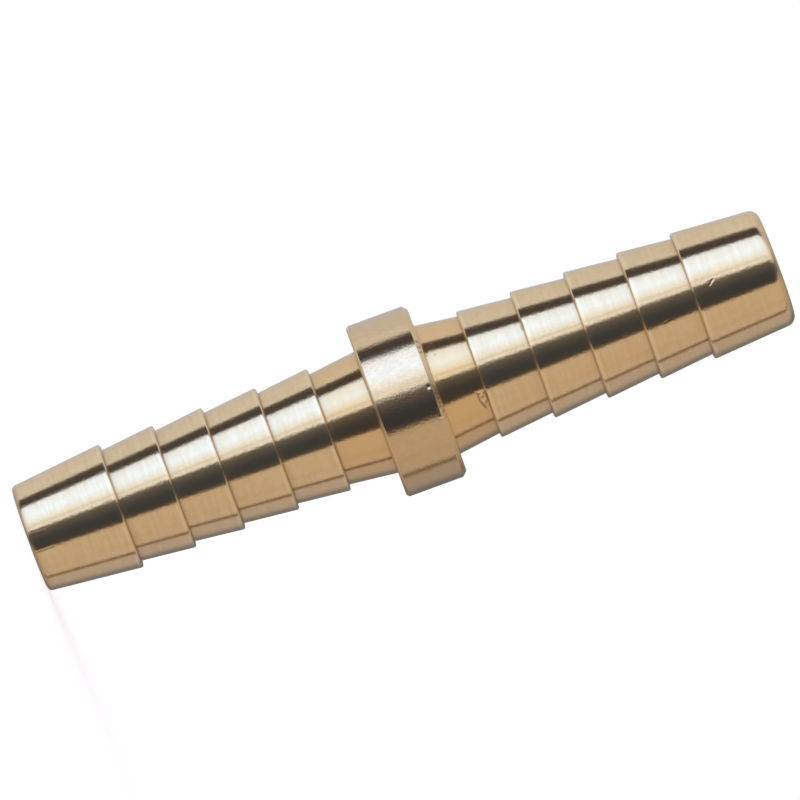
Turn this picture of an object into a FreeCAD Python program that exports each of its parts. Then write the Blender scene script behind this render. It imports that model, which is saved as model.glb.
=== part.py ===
import FreeCAD, Part
import math
import os
from collections import namedtuple

# Straight hose connector, turned from one piece of round brass bar and drilled right through.
# A band of the bar's full size is left as a collar, with a barbed hose tail on each side.
# Lengths are in millimetres. The axis is Z, the lower tail's end face lies at Z = 0 and the
# upper tail points up. The two tails were cut by different tools, so each has its own sizes.

# Bore, drilled right through, with a light countersink at each mouth
bore_dia = 5.5
bore_mouth_chamfer = 0.25

# Collar, left at the size of the bar. Its upper edge is broken more than its lower one.
collar_dia = 12.7
collar_width = 4.53
collar_lower_edge_break = 0.18
collar_upper_edge_break = 0.34

# Light break on the sharp crest of every barb
crest_break = 0.1

# Lower tail: a plain nose, then barbs from the nose towards the collar, then the neck
lower_tip_dia = 7.76
lower_tip_radius = 0.34
lower_nose_length = 6.84
lower_nose_crest_dia = 9.18
lower_barb_root_dia = 8.24
lower_barb_crest_dia = 9.08
lower_barb_1_length = 3.96
lower_barb_2_length = 3.66
lower_barb_3_length = 4.01
lower_barb_4_length = 3.86
lower_neck_length = 3.50
lower_neck_root_dia = 8.22
lower_neck_dia = 9.04

# Upper tail, in the same order from its nose towards the collar
upper_tip_dia = 8.45
upper_tip_radius = 0.7
upper_nose_length = 6.30
upper_nose_crest_dia = 9.36
upper_barb_root_dia = 8.58
upper_barb_crest_dia = 9.40
upper_barb_1_length = 4.0
upper_barb_2_length = 3.96
upper_barb_3_length = 3.98
upper_barb_4_length = 3.99
upper_neck_length = 3.10
upper_neck_root_dia = 8.72
upper_neck_dia = 9.54

# One cone of a tail: how long it is, and its diameter at the end nearer the nose and at the
# end nearer the collar
Cone = namedtuple("Cone", "length outer_dia inner_dia")

# A corner of the turned profile: radius from the axis, height, and how much it is rounded
Corner = namedtuple("Corner", "r z rounding")

lower_tail = [
    Cone(lower_nose_length, lower_tip_dia, lower_nose_crest_dia),
    Cone(lower_barb_1_length, lower_barb_root_dia, lower_barb_crest_dia),
    Cone(lower_barb_2_length, lower_barb_root_dia, lower_barb_crest_dia),
    Cone(lower_barb_3_length, lower_barb_root_dia, lower_barb_crest_dia),
    Cone(lower_barb_4_length, lower_barb_root_dia, lower_barb_crest_dia),
    Cone(lower_neck_length, lower_neck_root_dia, lower_neck_dia),
]
upper_tail = [
    Cone(upper_nose_length, upper_tip_dia, upper_nose_crest_dia),
    Cone(upper_barb_1_length, upper_barb_root_dia, upper_barb_crest_dia),
    Cone(upper_barb_2_length, upper_barb_root_dia, upper_barb_crest_dia),
    Cone(upper_barb_3_length, upper_barb_root_dia, upper_barb_crest_dia),
    Cone(upper_barb_4_length, upper_barb_root_dia, upper_barb_crest_dia),
    Cone(upper_neck_length, upper_neck_root_dia, upper_neck_dia),
]


def tail_length(tail):
    """Distance from a tail's end face to the collar."""
    return sum(cone.length for cone in tail)


def tail_corners(tail, end_z, direction, tip_radius):
    """Outline of one tail from its end face to the foot of its neck at the collar.

    direction is +1 where the collar lies above the end face, and -1 where it lies below.
    """
    corners = []
    z = end_z
    *barbs, neck = tail
    for index, cone in enumerate(barbs):
        rise = (cone.inner_dia - cone.outer_dia) / 2 / cone.length
        crest_r = cone.inner_dia / 2
        corners.append(Corner(cone.outer_dia / 2, z, tip_radius if index == 0 else 0))
        z += direction * cone.length
        corners.append(Corner(crest_r - rise * crest_break, z - direction * crest_break, 0))
        corners.append(Corner(crest_r - crest_break, z, 0))
    corners.append(Corner(neck.outer_dia / 2, z, 0))
    corners.append(Corner(neck.inner_dia / 2, z + direction * neck.length, 0))
    return corners


def collar_corners(bottom_z, top_z):
    """Outline of the collar, with its two edges broken at 45 degrees."""
    rim_r = collar_dia / 2
    return [
        Corner(rim_r - collar_lower_edge_break, bottom_z, 0),
        Corner(rim_r, bottom_z + collar_lower_edge_break, 0),
        Corner(rim_r, top_z - collar_upper_edge_break, 0),
        Corner(rim_r - collar_upper_edge_break, top_z, 0),
    ]


def bore_corners(bottom_z, top_z):
    """Outline of the bore from its upper mouth down to its lower mouth."""
    bore_r = bore_dia / 2
    mouth_r = bore_r + bore_mouth_chamfer
    return [
        Corner(mouth_r, top_z, 0),
        Corner(bore_r, top_z - bore_mouth_chamfer, 0),
        Corner(bore_r, bottom_z + bore_mouth_chamfer, 0),
        Corner(mouth_r, bottom_z, 0),
    ]


def point(corner):
    """Place of a corner in the plane that is turned about the axis."""
    return FreeCAD.Vector(corner.r, 0, corner.z)


def corner_arc(before, corner, after):
    """Start, middle and end of the arc that rounds a corner, or the bare corner where it is sharp.

    The arc takes at most 0.45 of the shorter side, so that two arcs on one side never meet.
    """
    here = point(corner)
    back = point(before) - here
    ahead = point(after) - here
    half_angle = back.getAngle(ahead) / 2
    longest_cut = 0.45 * min(back.Length, ahead.Length)
    cut = min(corner.rounding / math.tan(half_angle), longest_cut)
    if cut <= 0:
        return [here]
    radius = cut * math.tan(half_angle)
    back.normalize()
    ahead.normalize()
    inward = (back + ahead).normalize()
    centre_distance = radius / math.sin(half_angle)
    middle = here + inward * (centre_distance - radius)
    return [here + back * cut, middle, here + ahead * cut]


def closed_profile(corners):
    """Face bounded by straight sides and by the arcs that round its corners."""
    count = len(corners)
    rounded = [corner_arc(corners[i - 1], corners[i], corners[(i + 1) % count]) for i in range(count)]
    edges = []
    for index, arc in enumerate(rounded):
        if len(arc) == 3:
            edges.append(Part.Arc(*arc).toShape())
        next_start = rounded[(index + 1) % count][0]
        edges.append(Part.LineSegment(arc[-1], next_start).toShape())
    return Part.Face(Part.Wire(edges))


def connector_body():
    """The whole connector: one profile turned once about the axis."""
    collar_bottom = tail_length(lower_tail)
    collar_top = collar_bottom + collar_width
    upper_end = collar_top + tail_length(upper_tail)
    upper_outline = tail_corners(upper_tail, upper_end, -1, upper_tip_radius)
    corners = tail_corners(lower_tail, 0, 1, lower_tip_radius)
    corners += collar_corners(collar_bottom, collar_top)
    corners += reversed(upper_outline)
    corners += bore_corners(0, upper_end)
    profile = closed_profile(corners)
    turned = profile.revolve(FreeCAD.Vector(0, 0, 0), FreeCAD.Vector(0, 0, 1), 360)
    return turned if turned.ShapeType == "Solid" else Part.Solid(turned.Shells[0])


os.makedirs("parts", exist_ok=True)
connector_body().exportStep("parts/connector_body.step")
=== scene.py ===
"""Looks of a turned brass hose connector that stands on its lower tail in a plain pale studio."""

import logging
import math
from dataclasses import dataclass, field
from enum import Enum
from typing import Iterable

import bmesh
import bpy
from mathutils import Matrix, Vector


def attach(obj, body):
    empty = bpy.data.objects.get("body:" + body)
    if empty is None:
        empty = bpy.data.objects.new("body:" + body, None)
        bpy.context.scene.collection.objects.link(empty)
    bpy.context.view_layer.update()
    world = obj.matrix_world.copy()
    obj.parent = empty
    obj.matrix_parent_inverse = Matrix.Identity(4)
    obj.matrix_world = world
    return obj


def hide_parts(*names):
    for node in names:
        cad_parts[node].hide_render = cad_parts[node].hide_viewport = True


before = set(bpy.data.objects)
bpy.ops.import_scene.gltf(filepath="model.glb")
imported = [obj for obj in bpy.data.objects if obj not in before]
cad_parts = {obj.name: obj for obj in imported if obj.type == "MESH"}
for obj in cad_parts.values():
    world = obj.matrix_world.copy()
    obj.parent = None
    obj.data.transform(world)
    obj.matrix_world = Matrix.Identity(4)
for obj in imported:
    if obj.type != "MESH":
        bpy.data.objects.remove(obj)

MM = 0.001
FULL_TURN = 2 * math.pi
TURN_STEPS = 200
TURN_STEP = 360 / TURN_STEPS
LOG = logging.getLogger("hose_connector")
Colour = tuple[float, float, float]
Range = tuple[float, float]
Table = tuple[Range, ...]
Mesh = bmesh.types.BMesh
Face = bmesh.types.BMFace
Vert = bmesh.types.BMVert
Socket = bpy.types.NodeSocket
Value = Socket | float | tuple[float, ...]
Inputs = dict[str | int, Value]
EVEN: Colour = (1.0, 1.0, 1.0)


class Node(Enum):
    """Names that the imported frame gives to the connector."""

    BODY = "connector_body"
    SLOT = "brass"
    ROOT = "root"


class Surface(Enum):
    """How each stretch of the connector was made, in the order of its material slots."""

    TURNED = 0
    DRAWN = 1
    FACED = 2
    BORED = 3


class Side(Enum):
    """Way along the axis from a tail's end face to the collar."""

    UP = 1
    DOWN = -1


class Kind(Enum):
    """What a corner of the outline is, which decides how it is worn and where shade and a highlight are
    painted beside it.
    """

    PLAIN = "plain"
    TIP = "tip"
    CREST = "crest"
    ROOT = "root"
    RIM = "rim"
    FOOT = "foot"


@dataclass(frozen=True)
class Corner:
    """A corner of the turned outline.

    Args:
        radius: Distance from the axis, in metres.
        height: Height above the floor, in metres.
        rounding: Radius of the rounded edge, or 0 where the corner is sharp.
        kind: What the corner is.
        shade_and_dirt: Share of the usual darkening beside it, which is painted shade, with grime beside
            roots and feet.
    """

    radius: float
    height: float
    rounding: float = 0.0
    kind: Kind = Kind.PLAIN
    shade_and_dirt: float = 1.0


@dataclass(frozen=True)
class WearAndPaintedLight:
    """How grime with painted shade, and rubbing with a painted highlight, fade with the distance from a
    corner, distances in millimetres.

    Args:
        shade_and_dirt: Share of darkening right in a root corner, grime with painted shade.
        shade_and_dirt_reach: How far that dark line reaches.
        tip_darkening: Share of darkening at the edge of a tip.
        tip_reach: How far that darker edge reaches.
        rim_painted_shade: Share of painted shade, a dark line, on the lower edge of the collar.
        rim_reach: How far that painted shade reaches.
        foot_shade_and_dirt: Share of darkening where a neck meets the collar, grime with painted shade.
        faint_shade_and_tarnish: Share of the wider, fainter darkening beside a root and beside a tip; beside
            a root it is painted shade with grime.
        foot_faint_shade_and_tarnish: Share of that fainter darkening, painted shade with grime, beside the
            foot of a neck.
        faint_shade_reach: How far the faint darkening reaches.
        across: How much more a distance across the axis counts than one along it.
        shine_place: Distance from a crest of the brighter strip, worn bright and painted with a highlight.
        shine_reach: Half the width of that strip.
        shine_share: Most share of brighter metal in it, partly worn and partly a painted highlight.
        shine_slope: Most distance across the axis that is brightened, for each distance along it.
        shine_slack: How much farther across the brighter strip may lie.
        patina: Share of warm patina at heights along the connector, in millimetres.
        rim_patina: Share of patina on the collar's rim, at bearings from the camera towards +X.
    """

    shade_and_dirt: float = 0.48
    shade_and_dirt_reach: float = 0.1
    tip_darkening: float = 0.4
    tip_reach: float = 0.25
    rim_painted_shade: float = 0.45
    rim_reach: float = 0.1
    foot_shade_and_dirt: float = 0.2
    faint_shade_and_tarnish: float = 0.2
    foot_faint_shade_and_tarnish: float = 0.1
    faint_shade_reach: float = 0.5
    across: float = 2.0
    shine_place: float = 0.22
    shine_reach: float = 0.1
    shine_share: float = 0.65
    shine_slope: float = 0.5
    shine_slack: float = 0.05
    patina: Table = (
        (0.0, 0.0),
        (22.3, 0.0),
        (22.9, 0.65),
        (25.83, 0.65),
        (25.9, 0.0),
        (30.3, 0.0),
        (30.37, 0.8),
        (33.4, 0.8),
        (33.6, 0.15),
        (55.7, 0.15),
    )
    rim_patina: Table = (
        (-180.0, 0.6),
        (-90.0, 0.4),
        (-55.0, 0.4),
        (-45.0, 0.0),
        (-8.0, 0.0),
        (14.0, 0.6),
        (46.0, 0.6),
        (58.0, 0.88),
        (90.0, 0.88),
        (180.0, 0.6),
    )

    @staticmethod
    def share_at(place: float, table: Table) -> float:
        """Share at a place, between the places that a table gives.

        Args:
            place: Height or bearing, as in the table.
            table: Places in order, each with its share.

        Returns:
            The share from 0 to 1.
        """
        for (low, below), (high, above) in zip(table, table[1:]):
            if place <= high:
                return below + (above - below) * max(0.0, place - low) / (high - low)
        return table[-1][1]

    def stain_and_shade(self, kind: Kind, distance: float) -> float:
        """Share of darkening, grime and painted shade, at a distance from a corner.

        Args:
            kind: What the corner is.
            distance: Distance from it, in millimetres.

        Returns:
            The share from 0 to 1.
        """
        # Beside roots and feet the darkening is grime with painted shade; on the collar's lower edge it is
        # painted shade alone; beside a tip it is only darker towards the edge.
        near = {
            Kind.ROOT: (self.shade_and_dirt, self.shade_and_dirt_reach, self.faint_shade_and_tarnish),
            Kind.TIP: (self.tip_darkening, self.tip_reach, self.faint_shade_and_tarnish),
            Kind.RIM: (self.rim_painted_shade, self.rim_reach, 0.0),
            Kind.FOOT: (self.foot_shade_and_dirt, self.shade_and_dirt_reach, self.foot_faint_shade_and_tarnish),
        }
        shade_and_dirt, reach, faint = near.get(kind, (0.0, 1.0, 0.0))
        return shade_and_dirt * math.exp(-((distance / reach) ** 2)) + faint * math.exp(-distance / self.faint_shade_reach)

    def shine_and_highlight(self, kind: Kind, distance: float) -> float:
        """Share of brighter metal, rubbing with a painted highlight, at a distance from a corner.

        Args:
            kind: What the corner is.
            distance: Distance from it, in millimetres.

        Returns:
            The share from 0 to 1.
        """
        # Beside a crest the brighter strip is partly metal worn bright by rubbing and partly a painted
        # highlight.
        if kind is not Kind.CREST:
            return 0.0
        return self.shine_share * math.exp(-(((distance - self.shine_place) / self.shine_reach) ** 2))


def bearing_of(place: Vector) -> float:
    """Bearing of a place round the axis in degrees, from the camera towards +X."""
    return math.degrees(math.atan2(place.x, -place.y))


@dataclass(frozen=True)
class Mark:
    """A nick, scratch or spot as a line on the surface, sizes in millimetres.

    Args:
        path: Bearing from the camera towards +X in degrees, and height, of each of its points.
        width: Half the width of the mark.
        depth: Depth of the groove, or less than 0 for a raised line.
        stain_and_shade: Share of tarnished metal in it, laid into the same darkening as the painted shade in
            corners.
        shine_and_highlight: Share of bright metal in it.
    """

    path: Table
    width: float
    depth: float = 0.0
    stain_and_shade: float = 0.0
    shine_and_highlight: float = 0.0

    def share_at(self, bearing: float, height: float, radius: float) -> float:
        """How strongly the mark shows at a place, which fades beside its line.

        Args:
            bearing: Bearing of the place, in degrees.
            height: Height of the place, in millimetres.
            radius: Distance of the place from the axis, in millimetres.

        Returns:
            The share from 0 to 1.
        """
        flat = [Vector((math.radians(b - bearing) * radius, h - height)) for b, h in self.path]
        nearest = flat[0].length
        for start, end in zip(flat, flat[1:]):
            along = end - start
            share = min(1.0, max(0.0, -start.dot(along) / along.length_squared))
            nearest = min(nearest, (start + along * share).length)
        return math.exp(-((nearest / self.width) ** 2))


@dataclass(frozen=True)
class WornPatch:
    """A small stretch of the surface, cut finely enough to carry its marks, sizes in millimetres.

    Args:
        name: Where it lies.
        marks: The marks in it.
        pitch: Size of the fine faces.
        innermost: Least distance from the axis.
        lowest: Least height.
        reach: How far the patch runs past a mark's line, as a multiple of its width.
        snap: Distance from a point at which a cut runs through it.
    """

    name: str
    marks: tuple[Mark, ...]
    pitch: float = 0.05
    innermost: float = 3.5
    lowest: float = 0.02
    reach: float = 2.2
    snap: float = 0.004

    @property
    def margin(self) -> float:
        """How far the patch runs past its outermost marks, in millimetres."""
        return self.reach * max(mark.width for mark in self.marks)

    def press(self, bm: Mesh) -> None:
        """Cuts the patch finely and presses its marks into it.

        Args:
            bm: The turned body.
        """
        faces = self._cut_level(bm)
        verts = self._cut_upright(bm, faces)
        self._onto_round(verts)
        bm.normal_update()
        self._mark(bm, verts)
        LOG.info("%s: %d marks on %d points", self.name, len(self.marks), len(verts))

    def _cut_level(self, bm: Mesh) -> list[Face]:
        """Cuts the patch out and into fine level strips.

        Args:
            bm: The turned body.

        Returns:
            The faces of the patch.
        """
        low, high = self._heights()
        up = Vector((0, 0, 1))
        faces = self._within(bm.faces, touching=True)
        for height in (low, high):
            faces = self._cut(bm, faces, Vector((0, 0, height * MM)), up)
        faces = self._within(faces, touching=False)
        for level in range(1, int((high - low) / self.pitch)):
            height = low + level * self.pitch
            faces = self._cut(bm, faces, Vector((0, 0, height * MM)), up)
        return faces

    def _cut_upright(self, bm: Mesh, faces: list[Face]) -> set[Vert]:
        """Cuts the strips of the patch into fine faces.

        Args:
            bm: The turned body.
            faces: Faces of the patch.

        Returns:
            The points of the patch.
        """
        widest = max(vert.co.xy.length for face in faces for vert in face.verts) / MM
        parts = math.ceil(math.radians(TURN_STEP) * widest / self.pitch)
        columns: dict[int, list[Face]] = {}
        for face in faces:
            index = math.floor(bearing_of(face.calc_center_median()) / TURN_STEP)
            columns.setdefault(index, []).append(face)
        verts: set[Vert] = set()
        for index, column in columns.items():
            for part in range(1, parts):
                bearing = math.radians((index + part / parts) * TURN_STEP)
                across = Vector((math.cos(bearing), math.sin(bearing), 0))
                column = self._cut(bm, column, Vector((0, 0, 0)), across)
            verts.update(vert for face in column for vert in face.verts)
        return verts

    def _heights(self) -> Range:
        """Heights between which the patch lies, in millimetres."""
        heights = [height for mark in self.marks for _, height in mark.path]
        return max(min(heights) - self.margin, self.lowest), max(heights) + self.margin

    def _bearings(self) -> Range:
        """Bearings between which the patch lies, on edges of the turned body.

        Returns:
            The first and the last bearing, in degrees.
        """
        margin = math.degrees(self.margin / self.innermost)
        bearings = [bearing for mark in self.marks for bearing, _ in mark.path]
        first = math.floor((min(bearings) - margin) / TURN_STEP) * TURN_STEP
        last = math.ceil((max(bearings) + margin) / TURN_STEP) * TURN_STEP
        return first, last

    def _within(self, faces: Iterable[Face], touching: bool) -> list[Face]:
        """Faces of the outside that belong to the patch.

        Args:
            faces: The faces to choose from.
            touching: Whether a face counts that reaches into the patch, or only one whose
                middle lies in it.

        Returns:
            The faces that belong to it.
        """
        low, high = self._heights()
        first, last = self._bearings()
        found = []
        for face in faces:
            centre = face.calc_center_median()
            if not first < bearing_of(centre) < last or centre.xy.length < self.innermost * MM:
                continue
            levels = [vert.co.z / MM for vert in face.verts] if touching else [centre.z / MM]
            if min(levels) < high and max(levels) > low:
                found.append(face)
        return found

    def _cut(self, bm: Mesh, faces: list[Face], place: Vector, across: Vector) -> list[Face]:
        """Cuts faces along a plane.

        Args:
            bm: The turned body.
            faces: The faces to cut.
            place: A point of the plane.
            across: Direction across the plane.

        Returns:
            The faces with the new ones.
        """
        edges = {edge for face in faces for edge in face.edges}
        verts = {vert for face in faces for vert in face.verts}
        cut = bmesh.ops.bisect_plane(
            bm,
            geom=[*verts, *edges, *faces],
            dist=self.snap * MM,
            plane_co=place,
            plane_no=across,
        )
        return [item for item in cut["geom"] if isinstance(item, Face)]

    @staticmethod
    def _onto_round(verts: Iterable[Vert]) -> None:
        """Moves points of the flat turned faces out onto the true round.

        Args:
            verts: Points of the patch.
        """
        for vert in verts:
            from_middle = math.radians(bearing_of(vert.co) % TURN_STEP - TURN_STEP / 2)
            grow = math.cos(from_middle) / math.cos(math.radians(TURN_STEP / 2))
            vert.co.x *= grow
            vert.co.y *= grow

    def _mark(self, bm: Mesh, verts: Iterable[Vert]) -> None:
        """Presses the marks in and writes their tarnished spots and bright metal.

        Args:
            bm: The turned body.
            verts: Points of the patch.
        """
        stain_and_shade = bm.verts.layers.float["stain_and_shade"]
        shine_and_highlight = bm.verts.layers.float["shine_and_highlight"]
        for vert in verts:
            place = (bearing_of(vert.co), vert.co.z / MM, vert.co.xy.length / MM)
            shares = [mark.share_at(*place) for mark in self.marks]
            depth = sum(mark.depth * share for mark, share in zip(self.marks, shares))
            for mark, share in zip(self.marks, shares):
                vert[stain_and_shade] = max(vert[stain_and_shade], mark.stain_and_shade * share)
                vert[shine_and_highlight] = max(vert[shine_and_highlight], mark.shine_and_highlight * share)
                if mark.shine_and_highlight > mark.stain_and_shade:
                    vert[stain_and_shade] *= 1 - mark.shine_and_highlight * share
            vert.co -= vert.normal * depth * MM


@dataclass(frozen=True)
class Cone:
    """One taper of a hose tail, sizes in millimetres.

    Args:
        length: Length along the axis.
        outer_dia: Diameter at the end nearer the nose.
        inner_dia: Diameter at the end nearer the collar.
    """

    length: float
    outer_dia: float
    inner_dia: float


@dataclass(frozen=True)
class HoseTail:
    """A barbed tail, sizes in millimetres.

    Args:
        nose: The plain cone at the tip.
        barb_lengths: Lengths of the barbs, from the nose towards the collar.
        root_dia: Diameter at a barb's root.
        crest_dia: Diameter at a barb's crest.
        neck: The last cone, which meets the collar.
        tip_rounding: Radius of the rounded edge at the end face.
        shade_and_dirt: Share of the usual darkening in the corners, painted shade with grime.
        crest_rounding: Radius of the rounded crests.
        root_rounding: Radius in the corners.
    """

    nose: Cone
    barb_lengths: tuple[float, ...]
    root_dia: float
    crest_dia: float
    neck: Cone
    tip_rounding: float
    shade_and_dirt: float = 1.0
    crest_rounding: float = 0.16
    root_rounding: float = 0.06

    @property
    def length(self) -> float:
        """Distance from the end face to the collar, in millimetres."""
        return self.nose.length + sum(self.barb_lengths) + self.neck.length

    def cones(self) -> list[Cone]:
        """All cones of the tail, from the tip to the collar."""
        barbs = [Cone(length, self.root_dia, self.crest_dia) for length in self.barb_lengths]
        return [self.nose, *barbs, self.neck]

    def outline(self, end_height: float, side: Side) -> list[Corner]:
        """Corners from the end face to the foot of the neck.

        Args:
            end_height: Height of the end face, in millimetres.
            side: Way from the end face to the collar.

        Returns:
            The corners in metres, the tip first.
        """
        corners = []
        height = end_height
        cones = self.cones()
        rounding = {
            Kind.TIP: self.tip_rounding * MM,
            Kind.ROOT: self.root_rounding * MM,
            Kind.FOOT: self.root_rounding * MM,
            Kind.CREST: self.crest_rounding * MM,
        }
        for index, cone in enumerate(cones):
            outer = Kind.TIP if index == 0 else Kind.ROOT
            inner = Kind.FOOT if index == len(cones) - 1 else Kind.CREST
            for diameter, kind, step in ((cone.outer_dia, outer, 0), (cone.inner_dia, inner, cone.length)):
                height += side.value * step
                corners.append(Corner(diameter / 2 * MM, height * MM, rounding[kind], kind, self.shade_and_dirt))
        return corners


@dataclass(frozen=True)
class Collar:
    """The band left at the size of the bar, sizes in millimetres.

    Args:
        diameter: Diameter of its rim.
        width: Width along the axis.
        lower_edge_break: Size of the broken lower edge.
        upper_edge_break: Size of the broken upper edge.
        edge_rounding: Radius on both sides of each break.
    """

    diameter: float = 12.7
    width: float = 4.53
    lower_edge_break: float = 0.18
    upper_edge_break: float = 0.34
    edge_rounding: float = 0.06

    def outline(self, bottom: float) -> list[Corner]:
        """Corners of the collar from its lower face to its upper face.

        Args:
            bottom: Height of the lower face, in millimetres.

        Returns:
            The corners in metres.
        """
        rim = self.diameter / 2
        top = bottom + self.width
        # The corner of the lower face gets a dark line of painted shade along the collar's lower edge.
        places = (
            (rim - self.lower_edge_break, bottom, Kind.RIM),
            (rim, bottom + self.lower_edge_break, Kind.PLAIN),
            (rim, top - self.upper_edge_break, Kind.PLAIN),
            (rim - self.upper_edge_break, top, Kind.PLAIN),
        )
        rounding = self.edge_rounding * MM
        return [Corner(radius * MM, height * MM, rounding, kind) for radius, height, kind in places]


@dataclass(frozen=True)
class Bore:
    """The hole drilled through the connector, sizes in millimetres.

    Args:
        diameter: Diameter of the hole.
        mouth_chamfer: Size of the countersink at each mouth.
    """

    diameter: float = 5.5
    mouth_chamfer: float = 0.25

    def outline(self, top: float) -> list[Corner]:
        """Corners of the bore from its upper mouth down to its lower mouth.

        Args:
            top: Height of the upper end face, in millimetres.

        Returns:
            The corners in metres.
        """
        wall = self.diameter / 2
        mouth = wall + self.mouth_chamfer
        places = (
            (mouth, top),
            (wall, top - self.mouth_chamfer),
            (wall, self.mouth_chamfer),
            (mouth, 0.0),
        )
        return [Corner(radius * MM, height * MM) for radius, height in places]


class ShaderNodes:
    """Shader nodes of a material or of the world, joined as they are added."""

    SHARE = 0
    BELOW = 6
    ABOVE = 7
    MIXED = 2

    def __init__(self, owner: bpy.types.Material | bpy.types.World) -> None:
        """Starts with no node.

        Args:
            owner: The material or the world.
        """
        owner.use_nodes = True
        self.tree = owner.node_tree
        self.tree.nodes.clear()

    def add(self, kind: str, inputs: Inputs | None = None, **settings: str) -> bpy.types.Node:
        """Adds a node.

        Args:
            kind: Type of the node.
            inputs: Socket or constant that each of its inputs takes, by name or place.
            settings: Its other settings.

        Returns:
            The node.
        """
        node = self.tree.nodes.new(kind)
        for name, setting in settings.items():
            setattr(node, name, setting)
        for key, value in (inputs or {}).items():
            if isinstance(value, Socket):
                self.tree.links.new(value, node.inputs[key])
            else:
                node.inputs[key].default_value = value
        return node

    def attribute(self, name: str) -> Socket:
        """Share that the mesh carries under a name."""
        return self.add("ShaderNodeAttribute", attribute_name=name).outputs["Fac"]

    def calculate(self, operation: str, *values: Value) -> Socket:
        """Result of one step of arithmetic on sockets and numbers."""
        return self.add("ShaderNodeMath", dict(enumerate(values)), operation=operation).outputs[0]

    def noise(self, size: float, stretch: Colour, detail: float) -> Socket:
        """Noise on object coordinates, with features of one size.

        Args:
            size: Size of the features, in metres.
            stretch: Share of the coordinates that is kept on each axis.
            detail: Number of finer layers.

        Returns:
            The noise from 0 to 1.
        """
        place = self.add("ShaderNodeTexCoord").outputs["Object"]
        mapping = self.add("ShaderNodeMapping", {"Vector": place, "Scale": stretch})
        inputs = {"Vector": mapping.outputs["Vector"], "Scale": 1 / size, "Detail": detail}
        return self.add("ShaderNodeTexNoise", inputs).outputs["Fac"]

    def rescale(self, value: Socket, limits: Range, ends: Range = (0.0, 1.0)) -> Socket:
        """Carries a value from one range to another.

        Args:
            value: The value.
            limits: The two values between which it changes.
            ends: What they become.

        Returns:
            The new value.
        """
        inputs = {
            "Value": value,
            "From Min": limits[0],
            "From Max": limits[1],
            "To Min": ends[0],
            "To Max": ends[1],
        }
        return self.add("ShaderNodeMapRange", inputs).outputs["Result"]

    def ramp(self, value: Socket, stops: Iterable[tuple[float, Colour]]) -> Socket:
        """Colour that changes with a value.

        Args:
            value: The value, from 0 to 1.
            stops: Values above 0 in order, each with its colour.

        Returns:
            The colour.
        """
        node = self.add("ShaderNodeValToRGB", {"Fac": value})
        elements = node.color_ramp.elements
        elements.remove(elements[1])
        for place, colour in stops:
            stop = elements.new(place)
            stop.color = (*colour, 1)
        elements.remove(elements[0])
        return node.outputs["Color"]

    def mix(self, share: Socket, below: Value, above: Value) -> Socket:
        """Colour with another one laid over it.

        Args:
            share: How far the other colour covers it.
            below: The colour.
            above: The colour laid over it.

        Returns:
            The mixed colour.
        """
        inputs = {self.SHARE: share, self.BELOW: below, self.ABOVE: above}
        return self.add("ShaderNodeMix", inputs, data_type="RGBA").outputs[self.MIXED]


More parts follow.
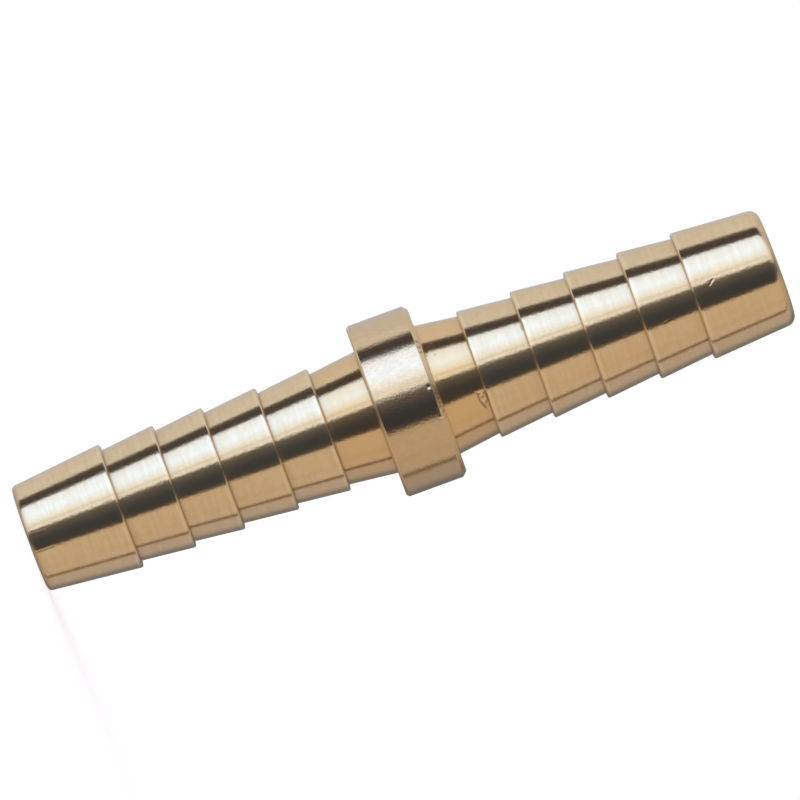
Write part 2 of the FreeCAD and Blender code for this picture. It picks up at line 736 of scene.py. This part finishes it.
@dataclass(frozen=True)
class BrassFinish:
    """A brass surface as one of the maker's operations leaves it.

    Args:
        name: Name of the material.
        colour: Colour of the bare metal, linear.
        rubbed_and_highlight: Colour of brighter metal, partly worn bright by rubbing and partly a painted
            highlight, linear.
        patina: Colour of the metal where it has turned warm, linear.
        stain_and_shade: Colour of the darkening in spots and corners, where corners get painted shade with
            grime, linear.
        metal_under_stain_and_shade: Share of bare metal that still shows under the full darkening of spots
            and painted shade.
        roughness: Roughness across the tool marks.
        roughness_limits: Streak noise between which the roughness changes.
        roughness_change: Factors on the roughness at those two.
        anisotropy: How far the tool marks stretch a highlight.
        stretch_turn: Turn of that stretch from the way round the axis, as a share of a full turn.
        mark_pitch: Rough distance between tool marks, in metres.
        mark_depth: Depth of the tool marks, in metres.
        mark_reach: How far one mark runs round the axis compared with its width.
        streak: Share of the colour that changes in streaks.
        streak_limits: Noise between which the colour changes.
        streak_width: Width of the streaks, in metres.
        streak_lay: Share of each coordinate that the streaks follow, least along their length.
        grain_depth: Depth of fine pits, in metres.
        grain_size: Size of the pits, in metres.
        out_of_true: Angle that the skin is turned by about the axis, in degrees.
        blotch: Most share of warm patina in soft blotches.
        blotch_limits: Noise between which that patina comes in.
        blotch_size: Size of the blotches, in metres.
        line_detail: Number of finer layers in tool marks and streaks.
        spot_detail: Number of finer layers in pits and blotches.
    """

    name: str
    colour: Colour = (0.835, 0.67, 0.39)
    rubbed_and_highlight: Colour = (0.93, 0.77, 0.47)
    patina: Colour = (0.80, 0.56, 0.26)
    stain_and_shade: Colour = (0.25, 0.13, 0.05)
    metal_under_stain_and_shade: float = 0.65
    roughness: float = 0.2
    roughness_limits: Range = (0.3, 0.7)
    roughness_change: Range = (1.12, 0.9)
    anisotropy: float = 0.93
    stretch_turn: float = 0.25
    mark_pitch: float = 0.14 * MM
    mark_depth: float = 0.003 * MM
    mark_reach: float = 60.0
    streak: float = 0.05
    streak_limits: Range = (0.35, 0.62)
    streak_width: float = 0.3 * MM
    streak_lay: Colour = (0.08, 0.08, 1.0)
    grain_depth: float = 0.005 * MM
    grain_size: float = 0.2 * MM
    out_of_true: float = 0.0
    blotch: float = 0.3
    blotch_limits: Range = (0.4, 0.65)
    blotch_size: float = 0.6 * MM
    line_detail: float = 3.0
    spot_detail: float = 2.0

    def material(self) -> bpy.types.Material:
        """Makes the node material of the finish.

        Returns:
            The material.
        """
        material = bpy.data.materials.new(self.name)
        nodes = ShaderNodes(material)
        streaks = nodes.noise(self.streak_width, self.streak_lay, self.line_detail)
        tangent = nodes.add("ShaderNodeTangent", direction_type="RADIAL", axis="Z")
        inputs = {
            "Base Color": self._colour(nodes, streaks),
            "Metallic": nodes.rescale(nodes.attribute("stain_and_shade"), (0, 1), (1, self.metal_under_stain_and_shade)),
            "Roughness": self._roughness(nodes, streaks),
            "Normal": self._relief(nodes),
            "Anisotropic": self.anisotropy,
            "Anisotropic Rotation": self.stretch_turn,
            "Tangent": tangent.outputs["Tangent"],
        }
        shader = nodes.add("ShaderNodeBsdfPrincipled", inputs)
        nodes.add("ShaderNodeOutputMaterial", {"Surface": shader.outputs["BSDF"]})
        return material

    def _colour(self, nodes: ShaderNodes, streaks: Socket) -> Socket:
        """Metal colour in faint streaks and blotches, worn, and painted with shade and a highlight, where
        the mesh says so.

        Args:
            nodes: Nodes of the material.
            streaks: Noise that the streaks follow.

        Returns:
            The colour.
        """
        darker = tuple(channel * (1 - self.streak) for channel in self.colour)
        metal = nodes.ramp(streaks, zip(self.streak_limits, (darker, self.colour)))
        blotches = nodes.noise(self.blotch_size, EVEN, self.spot_detail)
        patches = nodes.rescale(blotches, self.blotch_limits, (0, self.blotch))
        colour = nodes.mix(patches, metal, (*self.patina, 1))
        # Laid on in turn: patina, brighter metal that is partly rubbing and partly a painted highlight, and
        # darkening that is tarnished spots, and painted shade with grime in corners.
        for attribute, tint in (("patina", self.patina), ("shine_and_highlight", self.rubbed_and_highlight), ("stain_and_shade", self.stain_and_shade)):
            colour = nodes.mix(nodes.attribute(attribute), colour, (*tint, 1))
        return colour

    def _roughness(self, nodes: ShaderNodes, streaks: Socket) -> Socket:
        """Roughness, a little higher in the darker streaks."""
        ends = tuple(self.roughness * change for change in self.roughness_change)
        return nodes.rescale(streaks, self.roughness_limits, ends)

    def _relief(self, nodes: ShaderNodes) -> Socket:
        """Tool marks round the axis and fine pits.

        Args:
            nodes: Nodes of the material.

        Returns:
            The direction that the surface faces.
        """
        grain = nodes.noise(self.grain_size, EVEN, self.spot_detail)
        pits = nodes.add("ShaderNodeBump", {"Distance": self.grain_depth, "Height": grain})
        stretch = (1 / self.mark_reach, 1 / self.mark_reach, 1)
        rings = nodes.noise(self.mark_pitch, stretch, self.line_detail)
        inputs = {"Distance": self.mark_depth, "Height": rings, "Normal": pits.outputs["Normal"]}
        normal = nodes.add("ShaderNodeBump", inputs).outputs["Normal"]
        if self.out_of_true == 0:
            return normal
        inputs = {"Vector": normal, "Angle": math.radians(self.out_of_true)}
        return nodes.add("ShaderNodeVectorRotate", inputs, rotation_type="Z_AXIS").outputs["Vector"]


@dataclass
class TurnedBody:
    """The whole connector: one outline turned about the axis.

    Args:
        lower: The tail that it stands on.
        upper: The other tail.
        collar: The band between them.
        bore: The hole right through.
        wear_and_painted_light: How grime with painted shade, and rubbing with a painted highlight, lie
            beside its corners.
        patches: Stretches with nicks, scratches and spots.
        rounding_segments: Least number of faces across a rounded edge.
        rounding_pitch: Size of those faces on a large rounding, in millimetres.
        sharp_angle: Angle from which an edge shades as sharp.
        points_near_corner: Distances of the points beside each corner, in millimetres.
        room_for_point: Least length of an edge that gets such a point, as a multiple of its distance.
        weld: Distance within which points become one, in millimetres.
        slack: How far a face may lie off the size that it belongs to, in millimetres.
        rim_slack: How far a point of the rim may lie inside it, in millimetres.
        upright: Most slope of the rim's faces, as the height of their normal.
        level: Least height of the normal of a face that was cut square.
    """

    lower: HoseTail = HoseTail(
        nose=Cone(6.84, 7.76, 9.18),
        barb_lengths=(3.96, 3.66, 4.01, 3.86),
        root_dia=8.24,
        crest_dia=9.08,
        neck=Cone(3.50, 8.22, 9.04),
        tip_rounding=0.34,
    )
    upper: HoseTail = HoseTail(
        nose=Cone(6.30, 8.45, 9.36),
        barb_lengths=(4.0, 3.96, 3.98, 3.99),
        root_dia=8.58,
        crest_dia=9.40,
        neck=Cone(3.10, 8.72, 9.54),
        tip_rounding=0.7,
        shade_and_dirt=0.65,
    )
    collar: Collar = field(default_factory=Collar)
    bore: Bore = field(default_factory=Bore)
    wear_and_painted_light: WearAndPaintedLight = field(default_factory=WearAndPaintedLight)
    patches: tuple[WornPatch, ...] = ()
    rounding_segments: int = 4
    rounding_pitch: float = 0.08
    sharp_angle: float = math.radians(35)
    points_near_corner: tuple[float, ...] = (0.03, 0.08, 0.14, 0.21, 0.29, 0.4, 0.6)
    room_for_point: float = 4.0
    weld: float = 0.0005
    slack: float = 0.02
    rim_slack: float = 0.01
    upright: float = 0.3
    level: float = 0.9

    @property
    def height(self) -> float:
        """Length of the connector, in millimetres."""
        return self.lower.length + self.collar.width + self.upper.length

    def outline(self) -> list[Corner]:
        """Closed outline of the section.

        Returns:
            The corners in metres, up the outside and down the bore.
        """
        return [
            *self.lower.outline(0.0, Side.UP),
            *self.collar.outline(self.lower.length),
            *reversed(self.upper.outline(self.height, Side.DOWN)),
            *self.bore.outline(self.height),
        ]

    def build(self, finishes: dict[Surface, BrassFinish]) -> bpy.types.Object:
        """Turns the outline into the piece that shows.

        Args:
            finishes: The finish of each kind of surface.

        Returns:
            The piece, riding on the frame in place of the plain node.
        """
        mesh_data = bmesh.new()
        self._section(mesh_data)
        self._turn(mesh_data)
        self._age_rim(mesh_data)
        self._sort_surfaces(mesh_data)
        for patch in self.patches:
            patch.press(mesh_data)
        mesh = bpy.data.meshes.new("turned_brass_connector")
        mesh_data.to_mesh(mesh)
        mesh_data.free()
        for surface in Surface:
            mesh.materials.append(finishes[surface].material())
        piece = bpy.data.objects.new("turned_brass_connector", mesh)
        bpy.context.scene.collection.objects.link(piece)
        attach(piece, Node.ROOT.value)
        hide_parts(Node.BODY.value)
        LOG.info("%s: %d faces", piece.name, len(mesh.polygons))
        return piece

    def _section(self, bm: Mesh) -> None:
        """Draws the outline as edges in the plane of X and Z and rounds its corners.

        Args:
            bm: The empty mesh.
        """
        corners = self.outline()
        verts = [bm.verts.new((corner.radius, 0, corner.height)) for corner in corners]
        for index, vert in enumerate(verts):
            bm.edges.new((vert, verts[(index + 1) % len(verts)]))
        for index, corner in enumerate(corners):
            if corner.rounding > 0:
                before = corners[index - 1]
                after = corners[(index + 1) % len(corners)]
                self._round(bm, verts[index], corner, before, after)
        self._add_points(bm)
        self._wear_and_shade_corners(bm, corners)

    def _round(self, bm: Mesh, vert: Vert, corner: Corner, before: Corner, after: Corner) -> None:
        """Rounds one corner of the outline with the bevel operator.

        Args:
            bm: The section.
            vert: The corner's point.
            corner: The corner.
            before: The corner before it.
            after: The corner after it.
        """
        here = Vector((corner.radius, corner.height))
        back = Vector((before.radius, before.height)) - here
        ahead = Vector((after.radius, after.height)) - here
        cut = corner.rounding / math.tan(back.angle(ahead) / 2)
        segments = max(self.rounding_segments, round(corner.rounding / MM / self.rounding_pitch))
        bmesh.ops.bevel(
            bm,
            geom=[vert],
            affect="VERTICES",
            offset=cut,
            offset_type="OFFSET",
            segments=segments,
            profile=0.5,
            material=-1,
        )

    def _add_points(self, bm: Mesh) -> None:
        """Puts points near both ends of each long edge, to hold its shading and carry its grime, painted
        shade and painted highlight.

        Args:
            bm: The section.
        """
        for edge in list(bm.edges):
            length = edge.calc_length()
            points = self.points_near_corner
            distances = [point * MM for point in points if self.room_for_point * point * MM < length]
            first, last = edge.verts
            self._split_off(bm, edge, first, distances)
            rest = next(e for e in last.link_edges if e.calc_length() > length / 3)
            self._split_off(bm, rest, last, distances)

    @staticmethod
    def _split_off(
        bm: Mesh,
        edge: bmesh.types.BMEdge,
        end: Vert,
        distances: list[float],
    ) -> None:
        """Splits an edge at distances from one of its ends, the nearest last.

        Args:
            bm: The section.
            edge: The edge.
            end: The end that the distances count from.
            distances: Distances in metres, the nearest first.
        """
        for distance in reversed(distances):
            bmesh.utils.edge_split(edge, end, distance / edge.calc_length())
            edge = min(end.link_edges, key=lambda e: abs(e.calc_length() - distance))

    def _wear_and_shade_corners(self, bm: Mesh, corners: list[Corner]) -> None:
        """Writes the patina, and the grime with painted shade and the rubbing with a painted highlight
        beside the corners, to the points.

        Args:
            bm: The section.
            corners: The corners of the outline.
        """
        stain_and_shade = bm.verts.layers.float.new("stain_and_shade")
        shine_and_highlight = bm.verts.layers.float.new("shine_and_highlight")
        patina = bm.verts.layers.float.new("patina")
        worn = [corner for corner in corners if corner.kind is not Kind.PLAIN]
        # Each point gets patina by height, darkening beside corners that is painted shade with grime, and a
        # brighter strip beside crests that is partly a painted highlight.
        for vert in bm.verts:
            vert[patina] = self.wear_and_painted_light.share_at(vert.co.z / MM, self.wear_and_painted_light.patina)
            for corner in worn:
                across = abs(vert.co.x - corner.radius) / MM
                along = abs(vert.co.z - corner.height) / MM
                distance = math.hypot(along, self.wear_and_painted_light.across * across)
                vert[stain_and_shade] = max(vert[stain_and_shade], corner.shade_and_dirt * self.wear_and_painted_light.stain_and_shade(corner.kind, distance))
                if across < self.wear_and_painted_light.shine_slope * along + self.wear_and_painted_light.shine_slack:
                    vert[shine_and_highlight] = max(vert[shine_and_highlight], self.wear_and_painted_light.shine_and_highlight(corner.kind, distance))

    def _turn(self, bm: Mesh) -> None:
        """Spins the section a full turn about the axis and closes it.

        Args:
            bm: The section, which becomes the turned body.
        """
        bmesh.ops.spin(
            bm,
            geom=[*bm.verts, *bm.edges],
            cent=(0, 0, 0),
            axis=(0, 0, 1),
            dvec=(0, 0, 0),
            angle=FULL_TURN,
            steps=TURN_STEPS,
            use_merge=True,
            use_duplicate=False,
        )
        bmesh.ops.remove_doubles(bm, verts=bm.verts, dist=self.weld * MM)
        bmesh.ops.recalc_face_normals(bm, faces=bm.faces)
        for face in bm.faces:
            face.smooth = True
        for edge in bm.edges:
            edge.smooth = edge.calc_face_angle(0) < self.sharp_angle

    def _age_rim(self, bm: Mesh) -> None:
        """Writes the uneven patina of the bar's skin to the points of the collar's rim.

        Args:
            bm: The turned body.
        """
        patina = bm.verts.layers.float["patina"]
        innermost = (self.collar.diameter / 2 - self.collar.upper_edge_break - self.rim_slack) * MM
        for vert in bm.verts:
            if vert.co.xy.length > innermost:
                vert[patina] = self.wear_and_painted_light.share_at(bearing_of(vert.co), self.wear_and_painted_light.rim_patina)

    def _sort_surfaces(self, bm: Mesh) -> None:
        """Gives each face the slot of the operation that made it.

        Args:
            bm: The turned body.
        """
        rim = self.collar.diameter / 2 * MM
        wall = self.bore.diameter / 2 * MM
        slack = self.slack * MM
        for face in bm.faces:
            radius = face.calc_center_median().xy.length
            if radius < wall + slack:
                surface = Surface.BORED
            elif radius > rim - slack and abs(face.normal.z) < self.upright:
                surface = Surface.DRAWN
            elif abs(face.normal.z) > self.level:
                surface = Surface.FACED
            else:
                surface = Surface.TURNED
            face.material_index = surface.value


@dataclass(frozen=True)
class Panel:
    """An upright part of the studio's surroundings, as a level ray meets it.

    Args:
        start: Where it begins, in degrees round from the camera towards the photo's upper side.
        end: Where it ends, in degrees.
        first: Light at its start, linear.
        last: Light at its end, linear.
    """

    start: float
    end: float
    first: Colour
    last: Colour


@dataclass(frozen=True)
class Studio:
    """Plain studio round the connector: one soft box, dark room behind the camera, pale walls.

    Args:
        peak: Light that counts as full, linear.
        edge: How far inside its limits a panel reaches its own light, in degrees.
        steep_reach: Slopes between which the steep panels take over, in degrees.
        ceiling_reach: Slopes between which the ceiling takes over, in degrees.
        ceiling: Light of the ceiling, linear.
        floor_colour: Colour of the floor, linear.
        floor_lift: Light that the camera alone sees on the floor.
        floor_radius: Radius of the floor, in metres.
        floor_sides: Number of sides of the floor's edge.
        panels: The surroundings as a level ray meets them.
        steep_panels: The surroundings as a steep ray meets them.
    """

    peak: float = 3.0
    edge: float = 1.0
    steep_reach: Range = (22.0, 62.0)
    ceiling_reach: Range = (70.0, 84.0)
    ceiling: Colour = (0.20, 0.20, 0.24)
    floor_colour: Colour = (0.80, 0.80, 0.80)
    floor_lift: float = 0.6
    floor_radius: float = 1.4
    floor_sides: int = 96
    panels: tuple[Panel, ...] = (
        Panel(-180, -150, (0.20, 0.19, 0.19), (0.23, 0.22, 0.22)),
        Panel(-150, -126, (0.23, 0.22, 0.22), (0.51, 0.46, 0.50)),
        Panel(-126, -101, (0.53, 0.47, 0.51), (0.56, 0.49, 0.51)),
        Panel(-101, -94, (0.19, 0.13, 0.10), (0.19, 0.13, 0.10)),
        Panel(-94, -68, (0.67, 0.57, 0.55), (0.63, 0.52, 0.46)),
        Panel(-68, -29.8, (0.67, 0.56, 0.49), (0.67, 0.57, 0.53)),
        Panel(-29.8, -8, (0.044, 0.044, 0.056), (0.050, 0.061, 0.096)),
        Panel(-8, 15, (0.050, 0.061, 0.096), (0.15, 0.14, 0.15)),
        Panel(15, 21.8, (1.12, 1.18, 1.50), (1.12, 1.18, 1.50)),
        Panel(21.8, 25, (0.78, 0.82, 0.97), (0.78, 0.82, 0.97)),
        Panel(25, 45, (1.07, 1.19, 1.56), (1.17, 1.55, 2.66)),
        Panel(45, 70.5, (1.17, 1.56, 2.70), (1.11, 1.37, 2.17)),
        Panel(70.5, 93, (0.055, 0.047, 0.055), (0.055, 0.047, 0.055)),
        Panel(93, 130, (0.80, 0.81, 0.96), (0.75, 0.73, 0.80)),
        Panel(130, 180, (0.74, 0.73, 0.80), (0.50, 0.52, 0.60)),
    )
    steep_panels: tuple[Panel, ...] = (
        Panel(-180, -120, (0.42, 0.40, 0.42), (0.58, 0.50, 0.46)),
        Panel(-120, -38, (0.60, 0.51, 0.46), (0.63, 0.53, 0.46)),
        Panel(-38, -22, (0.60, 0.51, 0.45), (0.13, 0.13, 0.16)),
        Panel(-22, 8, (0.10, 0.11, 0.14), (0.12, 0.12, 0.15)),
        Panel(8, 24, (0.15, 0.15, 0.18), (0.95, 0.93, 1.08)),
        Panel(24, 66, (1.05, 1.05, 1.28), (1.05, 1.08, 1.36)),
        Panel(66, 100, (0.85, 0.82, 0.95), (0.78, 0.73, 0.82)),
        Panel(100, 180, (0.74, 0.69, 0.76), (0.42, 0.41, 0.44)),
    )

    def build(self) -> None:
        """Makes the surroundings and the floor."""
        self._surroundings()
        self._floor()

    def _surroundings(self) -> None:
        """World that is plain white to the camera and a studio to everything else."""
        world = bpy.data.worlds.new("pale_studio")
        bpy.context.scene.world = world
        nodes = ShaderNodes(world)
        inputs = {"Color": self._around(nodes), "Strength": self.peak}
        seen_by_metal = nodes.add("ShaderNodeBackground", inputs)
        seen_by_camera = nodes.add("ShaderNodeBackground", {"Color": (1, 1, 1, 1)})
        ray = nodes.add("ShaderNodeLightPath").outputs["Is Camera Ray"]
        inputs = {0: ray, 1: seen_by_metal.outputs[0], 2: seen_by_camera.outputs[0]}
        choice = nodes.add("ShaderNodeMixShader", inputs)
        nodes.add("ShaderNodeOutputWorld", {"Surface": choice.outputs[0]})

    def _around(self, nodes: ShaderNodes) -> Socket:
        """Light from every side, by the way round the axis and the slope up or down.

        Args:
            nodes: Nodes of the world.

        Returns:
            The light as a share of the peak.
        """
        direction = nodes.add("ShaderNodeTexCoord").outputs["Generated"]
        parts = nodes.add("ShaderNodeSeparateXYZ", {"Vector": direction}).outputs
        right = nodes.calculate("MULTIPLY", parts["X"], -1)
        near = nodes.calculate("MULTIPLY", parts["Y"], -1)
        bearing = nodes.calculate("ARCTAN2", right, near)
        turn = nodes.calculate("MULTIPLY_ADD", bearing, 1 / FULL_TURN, 0.5)
        slope = nodes.calculate("ABSOLUTE", nodes.calculate("ARCSINE", parts["Z"]))
        around = nodes.ramp(turn, self._stops(self.panels))
        steep = nodes.ramp(turn, self._stops(self.steep_panels))
        ceiling = (*self._of_peak(self.ceiling), 1)
        for light, (start, end) in ((steep, self.steep_reach), (ceiling, self.ceiling_reach)):
            share = nodes.rescale(slope, (math.radians(start), math.radians(end)))
            around = nodes.mix(share, around, light)
        return around

    def _of_peak(self, light: Colour) -> Colour:
        """Light as a share of the peak."""
        return tuple(channel / self.peak for channel in light)

    def _stops(self, panels: tuple[Panel, ...]) -> list[tuple[float, Colour]]:
        """Places of a ring of panels at which the light is known.

        Args:
            panels: The panels in order.

        Returns:
            Each place as a share of a full turn, with its light as a share of the peak.
        """
        places = []
        for panel in panels:
            places.append((panel.start + self.edge, panel.first))
            places.append((panel.end - self.edge, panel.last))
        return [((degrees + 180) / 360, self._of_peak(light)) for degrees, light in places]

    def _floor(self) -> None:
        """Pale floor that the camera sees as white apart from the connector's soft shadow."""
        bm = bmesh.new()
        bmesh.ops.create_circle(bm, cap_ends=True, segments=self.floor_sides, radius=self.floor_radius)
        mesh = bpy.data.meshes.new("floor")
        bm.to_mesh(mesh)
        bm.free()
        floor = bpy.data.objects.new("floor", mesh)
        bpy.context.scene.collection.objects.link(floor)
        floor.visible_glossy = False
        mesh.materials.append(self._floor_material())
        LOG.info("floor: radius %.1f m", self.floor_radius)

    def _floor_material(self) -> bpy.types.Material:
        """Matt pale paint, lifted to white for the camera.

        Returns:
            The material.
        """
        material = bpy.data.materials.new("pale_floor")
        nodes = ShaderNodes(material)
        paint = nodes.add("ShaderNodeBsdfDiffuse", {"Color": (*self.floor_colour, 1)})
        ray = nodes.add("ShaderNodeLightPath").outputs["Is Camera Ray"]
        strength = nodes.calculate("MULTIPLY", ray, self.floor_lift)
        lift = nodes.add("ShaderNodeEmission", {"Strength": strength})
        both = nodes.add("ShaderNodeAddShader", {0: paint.outputs[0], 1: lift.outputs[0]})
        nodes.add("ShaderNodeOutputMaterial", {"Surface": both.outputs[0]})
        return material


@dataclass(frozen=True)
class PhotoCamera:
    """Camera at the photo's viewing angle: level, square to the axis and rolled.

    Args:
        distance: From the connector's axis, in metres.
        roll: Slope of the axis in the picture, in degrees.
        pixel: Size of one of the photo's pixels at the axis, in metres.
        width: Width of the photo, in pixels.
        aside: How far the camera stands off the axis along X, in metres.
        height: Height of the camera, in metres.
        nearest: Least distance that it sees, in metres.
        farthest: Most distance that it sees, in metres.
    """

    distance: float = 630 * MM
    roll: float = 20.13
    pixel: float = 0.07005 * MM
    width: int = 800
    aside: float = -0.23 * MM
    height: float = 27.69 * MM
    nearest: float = 0.01
    farthest: float = 10.0

    def build(self) -> None:
        """Makes the scene's camera."""
        data = bpy.data.cameras.new("photo_camera")
        data.lens = data.sensor_width * self.distance / (self.pixel * self.width)
        data.clip_start = self.nearest
        data.clip_end = self.farthest
        camera = bpy.data.objects.new("photo_camera", data)
        bpy.context.scene.collection.objects.link(camera)
        angle = math.radians(self.roll)
        right = Vector((math.sin(angle), 0, math.cos(angle)))
        up = Vector((-math.cos(angle), 0, math.sin(angle)))
        back = right.cross(up)
        turn = Matrix((right, up, back)).transposed().to_4x4()
        camera.matrix_world = Matrix.Translation((self.aside, -self.distance, self.height)) @ turn
        bpy.context.scene.camera = camera
        LOG.info("camera: lens %.1f mm", data.lens)


FINISHES = {
    Surface.TURNED: BrassFinish("turned_brass"),
    Surface.DRAWN: BrassFinish(
        "drawn_brass",
        colour=(0.845, 0.645, 0.37),
        roughness=0.18,
        anisotropy=0.5,
        mark_depth=0.0005 * MM,
        patina=(0.60, 0.46, 0.255),
        out_of_true=-1.4,
        blotch=0.12,
        streak=0.08,
        streak_width=0.2 * MM,
        streak_lay=(1.0, 1.0, 0.5),
        grain_depth=0.007 * MM,
        grain_size=0.17 * MM,
    ),
    Surface.FACED: BrassFinish("faced_brass", roughness=0.25, anisotropy=0.0),
    Surface.BORED: BrassFinish("bored_brass", roughness=0.3, anisotropy=0.3),
}


PATCHES = (
    WornPatch(
        "dent by the first shoulder of the upper tail",
        (
            Mark(
                ((15.2, 32.88), (17.6, 32.90), (20.6, 32.90), (25.3, 32.95), (32.0, 33.14)),
                0.085,
                0.008,
                stain_and_shade=0.7,
            ),
            Mark(((17.6, 32.92),), 0.11, stain_and_shade=0.85),
            Mark(((25.3, 32.97), (30.1, 33.08)), 0.1, stain_and_shade=0.75),
            Mark(((15.8, 33.06), (16.2, 33.31), (18.4, 33.13)), 0.1, 0.012, shine_and_highlight=0.6),
            Mark(((20.6, 33.17),), 0.11, 0.005, stain_and_shade=0.65),
            Mark(((22.8, 33.34),), 0.085, -0.01, shine_and_highlight=1.0),
            Mark(((22.3, 33.03), (24.9, 33.12)), 0.05, -0.005, shine_and_highlight=0.9),
            Mark(((16.7, 33.44), (21.1, 33.45), (25.2, 33.42), (27.0, 33.28)), 0.1, stain_and_shade=0.65),
        ),
    ),
    WornPatch(
        "scratch on the upper nose",
        (
            Mark(((-4.1, 50.68), (-7.4, 50.95)), 0.065, 0.012, shine_and_highlight=0.8),
            Mark(((-5.2, 51.1), (-3.3, 51.0), (-2.1, 50.77)), 0.05, stain_and_shade=0.5),
            Mark(((-9.0, 50.7),), 0.06, -0.006, shine_and_highlight=0.9),
            Mark(((-10.6, 50.18), (-11.6, 50.39)), 0.06, 0.003, stain_and_shade=0.2),
            Mark(((-10.6, 51.38), (-11.0, 51.5)), 0.06, 0.003, stain_and_shade=0.2),
        ),
    ),
    WornPatch(
        "knocked upper edge of the collar",
        (
            Mark(((-3.6, 29.86),), 0.11, 0.035),
            Mark(((0.3, 30.13),), 0.07, -0.004, shine_and_highlight=1.0),
            Mark(((3.3, 30.12),), 0.06, -0.004, shine_and_highlight=1.0),
            Mark(((1.8, 30.24),), 0.08, stain_and_shade=0.55),
            Mark(((4.8, 30.17), (5.2, 30.26)), 0.08, stain_and_shade=0.6),
            Mark(((8.4, 30.24),), 0.09, stain_and_shade=0.6),
            Mark(((10.6, 30.13),), 0.06, stain_and_shade=0.5),
            Mark(((11.3, 29.92), (15.3, 29.9)), 0.08, 0.01, stain_and_shade=0.35),
            Mark(((11.8, 30.14), (13.4, 30.09)), 0.09, -0.005, shine_and_highlight=1.0),
            Mark(((17.8, 29.92), (20.2, 30.36)), 0.07, 0.008, shine_and_highlight=0.9),
            Mark(((14.6, 30.28),), 0.09, stain_and_shade=0.55),
            Mark(((19.2, 30.24),), 0.08, stain_and_shade=0.5),
        ),
    ),
    WornPatch(
        "spots above the collar",
        (
            Mark(((-31.6, 30.2),), 0.1, 0.006, stain_and_shade=0.75),
            Mark(((-36.1, 30.18),), 0.11, stain_and_shade=0.7),
            Mark(((-27.4, 30.2),), 0.1, 0.004, stain_and_shade=0.6),
            Mark(((-29.4, 30.2),), 0.06, -0.004, shine_and_highlight=1.0),
            Mark(((-43.0, 30.62), (-39.0, 30.58), (-35.2, 30.52)), 0.17, stain_and_shade=0.85),
            Mark(((-32.0, 30.49),), 0.12, stain_and_shade=0.6),
            Mark(((-30.6, 31.07),), 0.09, 0.004, stain_and_shade=0.25),
            Mark(((-29.5, 30.44), (-19.1, 30.42)), 0.06, stain_and_shade=0.3),
        ),
    ),
    WornPatch(
        "light scratches on the last barb of the upper tail",
        (
            Mark(((13.4, 46.8), (12.0, 47.3)), 0.05, 0.004),
            Mark(((10.9, 46.9), (10.2, 47.15)), 0.045, 0.003),
        ),
    ),
    WornPatch(
        "nick in a crest of the upper tail",
        (Mark(((-30.3, 37.44), (-27.1, 37.44)), 0.09, 0.03, stain_and_shade=0.4),),
    ),
    WornPatch(
        "fine scratches on the lower nose",
        (
            Mark(((-6.2, 0.4), (-5.1, 1.5)), 0.045, 0.003),
            Mark(((-1.1, 0.4), (-1.3, 1.25)), 0.045, 0.004),
            Mark(((4.4, 0.4), (4.1, 1.0)), 0.045, 0.003),
            Mark(((8.0, 0.4), (8.6, 1.15)), 0.045, 0.003),
            Mark(((15.2, 0.3), (14.6, 1.65)), 0.05, 0.003, stain_and_shade=0.4),
        ),
    ),
)


def main() -> None:
    """Builds the connector, the studio and the camera."""
    logging.basicConfig(level=logging.INFO, format="%(name)s %(message)s")
    bpy.context.scene.view_settings.view_transform = "Standard"
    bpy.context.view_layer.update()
    TurnedBody(patches=PATCHES).build(FINISHES)
    Studio().build()
    PhotoCamera().build()


if __name__ == "__main__":
    main()
